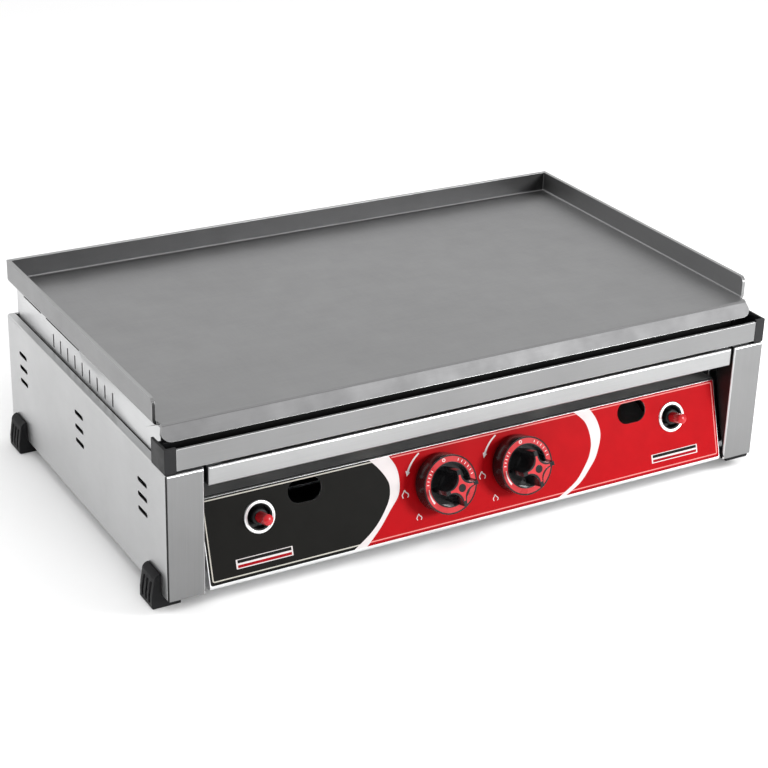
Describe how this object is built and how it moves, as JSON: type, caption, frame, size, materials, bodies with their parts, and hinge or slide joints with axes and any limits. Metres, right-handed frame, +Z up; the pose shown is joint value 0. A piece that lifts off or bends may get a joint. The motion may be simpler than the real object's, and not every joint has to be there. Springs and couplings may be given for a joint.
{
  "type": "flat top griddle",
  "caption": "Countertop gas griddle with a flat steel plate inside low splash walls, a slanted control panel, side vents, moulded feet and a slide-out grease tray.",
  "frame": {"origin": "middle of the outer box, on the surface that the feet stand on", "axes": "+X to the right as seen from the control panel, +Y to the rear, +Z up"},
  "size_m": [0.72, 0.4946, 0.2105],
  "materials": {
    "plate": "raw rolled steel, lightly oiled",
    "stainless": "fine brushed, satin",
    "galvanised": "zinc plated",
    "brass": "machined",
    "ceramic": "unglazed ceramic",
    "black_plastic": "moulded, glossy",
    "foot_plastic": "moulded, satin",
    "label": "printed film",
    "red_plastic": "moulded, glossy",
    "wire": "silicone insulated"
  },
  "bodies": {
    "root": {"griddle_plate": "plate", "plate_studs": "galvanised", "plate_nuts": "galvanised", "plate_brackets": "galvanised", "left_side_panel": "stainless", "right_side_panel": "stainless", "rear_panel": "stainless", "bottom_pan": "galvanised", "left_front_post": "stainless", "right_front_post": "stainless", "front_top_rail": "stainless", "control_panel": "stainless", "panel_brackets": "galvanised", "panel_label": "label", "left_firebox_wall": "stainless", "right_firebox_wall": "stainless", "rear_firebox_wall": "stainless", "front_firebox_wall": "galvanised", "heat_shield": "galvanised", "left_burner": "stainless", "right_burner": "stainless", "burner_supports": "galvanised", "gas_manifold": "galvanised", "left_gas_valve": "brass", "right_gas_valve": "brass", "valve_screws": "galvanised", "feed_pipes": "galvanised", "gas_injectors": "brass", "thermocouples": "brass", "spark_electrodes": "ceramic", "ignition_leads": "wire", "left_piezo_igniter": "black_plastic", "right_piezo_igniter": "black_plastic", "igniter_bezels": "stainless", "front_left_foot": "foot_plastic", "front_right_foot": "foot_plastic", "rear_left_foot": "foot_plastic", "rear_right_foot": "foot_plastic", "gas_inlet": "brass", "inlet_locknut": "brass", "gas_supply_pipe": "brass", "tray_runners": "galvanised", "rear_screws": "galvanised", "foot_screws": "galvanised"},
    "tray": {"grease_tray": "stainless", "left_tray_cap": "black_plastic", "right_tray_cap": "black_plastic"},
    "left_valve_plunger": {"left_thrust_pin": "galvanised"},
    "right_valve_plunger": {"right_thrust_pin": "galvanised"},
    "left_control": {"left_valve_stem": "brass", "left_knob": "black_plastic", "left_dial_ring": "red_plastic", "left_knob_cap": "red_plastic"},
    "right_control": {"right_valve_stem": "brass", "right_knob": "black_plastic", "right_dial_ring": "red_plastic", "right_knob_cap": "red_plastic"},
    "left_igniter": {"left_igniter_button": "red_plastic"},
    "right_igniter": {"right_igniter_button": "red_plastic"}
  },
  "joints": [
    {"name": "tray_slide", "type": "slide", "parent": "root", "child": "tray", "axis": [0, -1, 0], "range_m": [0, 0.06]},
    {"name": "left_knob_push", "type": "slide", "parent": "root", "child": "left_valve_plunger", "axis": [0, 0.9588, -0.284], "range_m": [0, 0.0035], "stiffness_N_per_m": 1500, "springref_m": -0.002},
    {"name": "left_knob_turn", "type": "hinge", "parent": "left_valve_plunger", "child": "left_control", "pos_m": [-0.0455, -0.19873, 0.06494], "axis": [0, -0.9588, 0.284], "range_deg": [0, 180]},
    {"name": "right_knob_push", "type": "slide", "parent": "root", "child": "right_valve_plunger", "axis": [0, 0.9588, -0.284], "range_m": [0, 0.0035], "stiffness_N_per_m": 1500, "springref_m": -0.002},
    {"name": "right_knob_turn", "type": "hinge", "parent": "right_valve_plunger", "child": "right_control", "pos_m": [0.0455, -0.19873, 0.06494], "axis": [0, -0.9588, 0.284], "range_deg": [0, 180]},
    {"name": "left_igniter_push", "type": "slide", "parent": "root", "child": "left_igniter", "axis": [0, 0.9588, -0.284], "range_m": [0, 0.008], "stiffness_N_per_m": 600, "springref_m": -0.003},
    {"name": "right_igniter_push", "type": "slide", "parent": "root", "child": "right_igniter", "axis": [0, 0.9588, -0.284], "range_m": [0, 0.008], "stiffness_N_per_m": 600, "springref_m": -0.003}
  ]
}
